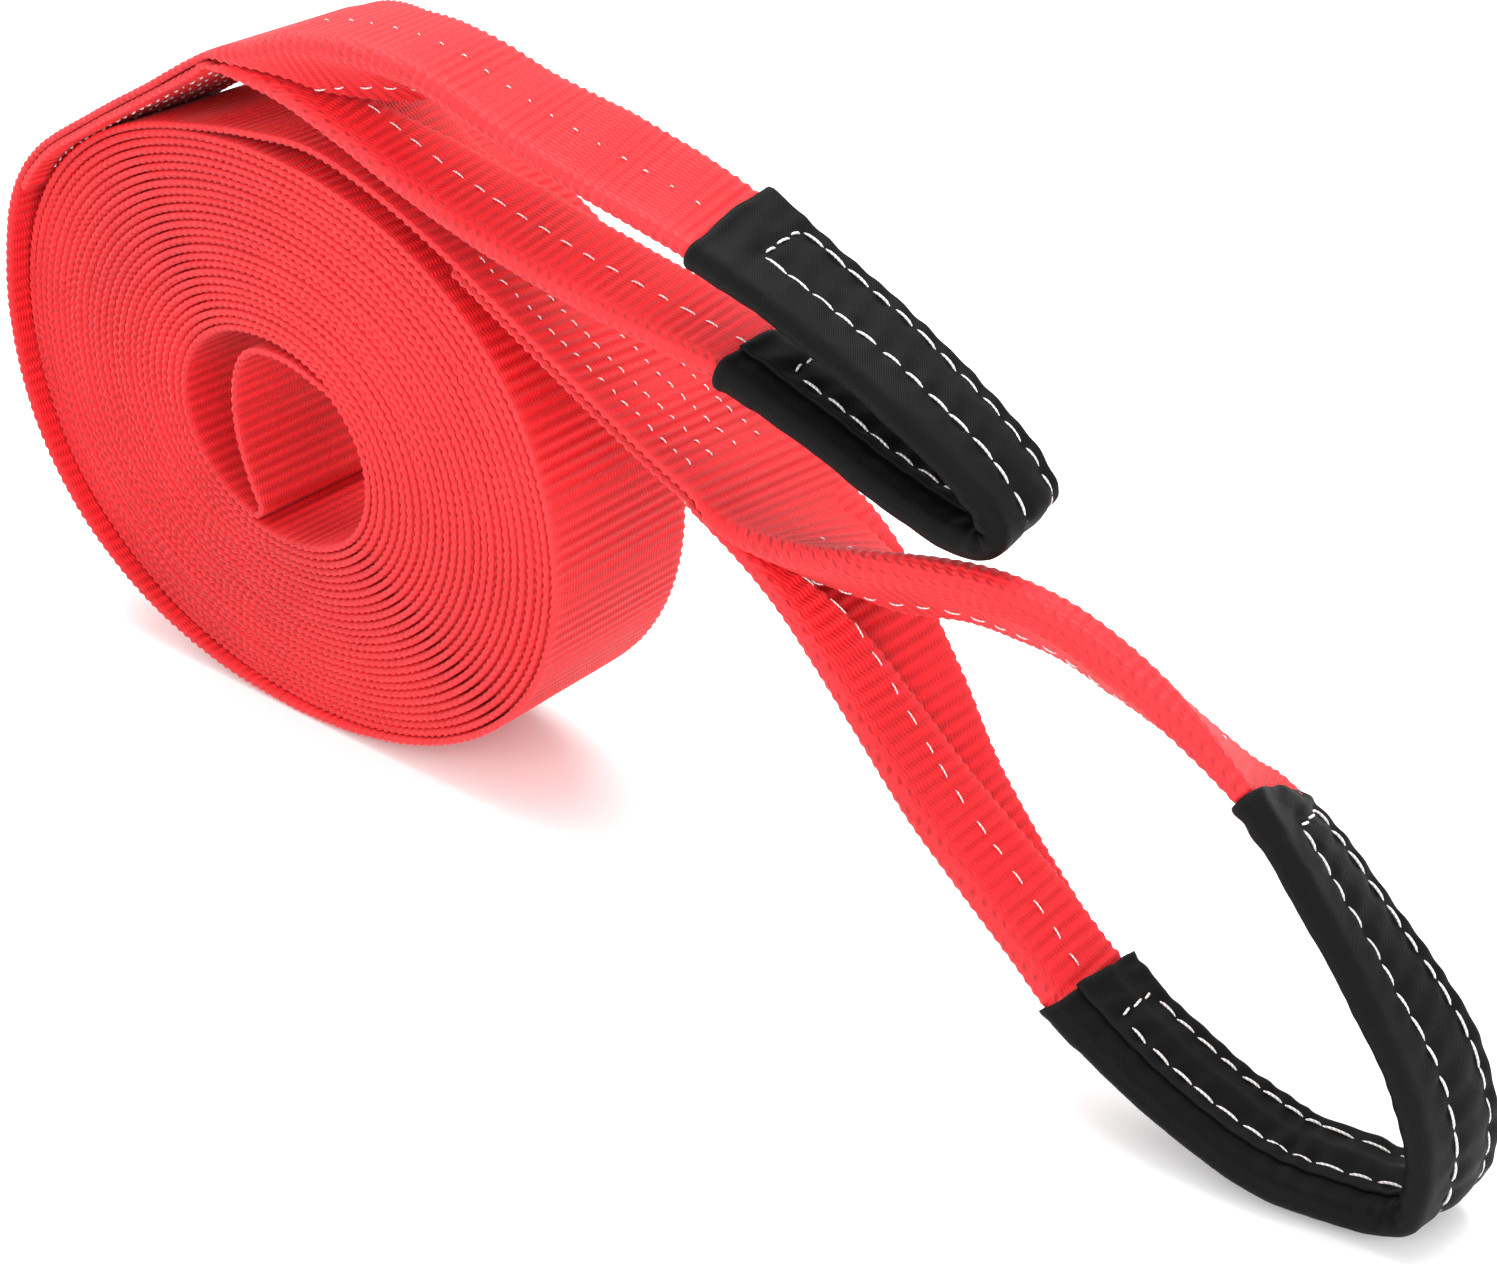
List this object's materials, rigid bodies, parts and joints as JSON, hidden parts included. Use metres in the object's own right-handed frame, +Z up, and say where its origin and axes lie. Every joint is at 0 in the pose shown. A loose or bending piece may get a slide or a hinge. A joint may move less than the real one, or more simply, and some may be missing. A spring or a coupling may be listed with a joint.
{
  "type": "tow strap",
  "caption": "Flat webbing tow strap wound doubled into an oval roll on its edge, both ends sewn into eyes with fabric wear sleeves.",
  "frame": {"origin": "middle of the flat under the roll that it stands on", "axes": "+Z up, +X from the roll towards the sewn eyes, Y along the roll's axis with the side that shows in the picture towards -Y"},
  "size_m": [0.4658, 0.0564, 0.2132],
  "materials": {
    "webbing": "woven polyester webbing with cross ribs, red",
    "sleeve_cloth": "fine coated weave, black, slightly satin"
  },
  "bodies": {
    "root": {"webbing_roll": "webbing", "webbing_end_upper": "webbing", "webbing_end_lower": "webbing", "sleeve_upper": "sleeve_cloth", "sleeve_lower": "sleeve_cloth"}
  },
  "joints": []
}
